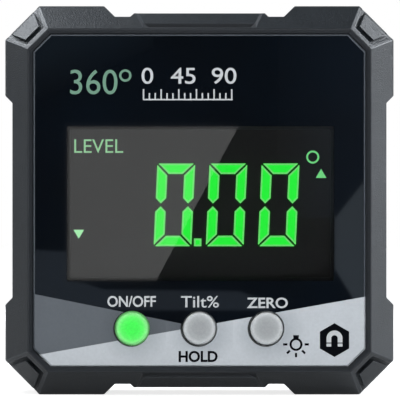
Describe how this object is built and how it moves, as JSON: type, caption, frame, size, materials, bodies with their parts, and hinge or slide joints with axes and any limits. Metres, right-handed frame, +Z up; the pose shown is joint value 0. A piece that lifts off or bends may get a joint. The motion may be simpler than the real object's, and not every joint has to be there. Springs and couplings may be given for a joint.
{
  "type": "digital angle gauge",
  "caption": "Square digital angle gauge with armoured corner bumpers, a lit display, push keys on a printed panel, magnets in the base and a hinged battery door.",
  "frame": {"origin": "middle of the base, on the surface that the box stands on", "axes": "+Z up, the display faces -Y, +X to the right as seen from the display"},
  "size_m": [0.06, 0.032, 0.06],
  "materials": {
    "case_plastic": "fine texture, dark grey",
    "seal_rubber": "soft black",
    "panel_print": "printed sheet, black with a silver field",
    "window_clear": "clear pane",
    "display_cell": "dark display glass",
    "lit_segments": "lit green",
    "light_guide": "clear moulded block",
    "frame_plastic": "white moulded frame",
    "strip_rubber": "layered elastic strip",
    "board": "green board",
    "lamp": "small lamps",
    "chip": "black chip package",
    "switch_metal": "switch cover",
    "power_key": "green key",
    "grey_key": "grey key",
    "cell_jacket": "dark jacket",
    "contact_metal": "nickel plate",
    "pin_steel": "steel pin",
    "magnet_plating": "nickel plate",
    "screw_steel": "zinc plate"
  },
  "bodies": {
    "case": {"front_case": "case_plastic", "rear_case": "case_plastic", "case_seal": "seal_rubber", "front_panel": "panel_print", "display_window": "window_clear", "lcd_glass": "display_cell", "lcd_segments": "lit_segments", "light_guide": "light_guide", "lcd_frame": "frame_plastic", "lcd_connector": "strip_rubber", "main_board": "board", "backlight_leds": "lamp", "tilt_sensor": "chip", "controller_chip": "chip", "key_switches": "switch_metal", "upper_cell": "cell_jacket", "lower_cell": "cell_jacket", "spring_contacts": "contact_metal", "plate_contacts": "contact_metal", "door_seal": "seal_rubber", "hinge_pins": "pin_steel", "base_magnets": "magnet_plating", "case_screws": "screw_steel", "board_screws": "screw_steel"},
    "power_button": {"power_button": "power_key"},
    "hold_button": {"hold_button": "grey_key"},
    "zero_button": {"zero_button": "grey_key"},
    "battery_door": {"battery_door": "case_plastic"}
  },
  "joints": [
    {"name": "power_press", "type": "slide", "parent": "case", "child": "power_button", "axis": [0, 1, 0], "range_m": [0, 0.0005], "stiffness_N_per_m": 600, "springref_m": -0.0005},
    {"name": "hold_press", "type": "slide", "parent": "case", "child": "hold_button", "axis": [0, 1, 0], "range_m": [0, 0.0005], "stiffness_N_per_m": 600, "springref_m": -0.0005},
    {"name": "zero_press", "type": "slide", "parent": "case", "child": "zero_button", "axis": [0, 1, 0], "range_m": [0, 0.0005], "stiffness_N_per_m": 600, "springref_m": -0.0005},
    {"name": "door_hinge", "type": "hinge", "parent": "case", "child": "battery_door", "pos_m": [0, 0.0149, 0.01585], "axis": [-1, 0, 0], "range_deg": [0, 90]}
  ]
}
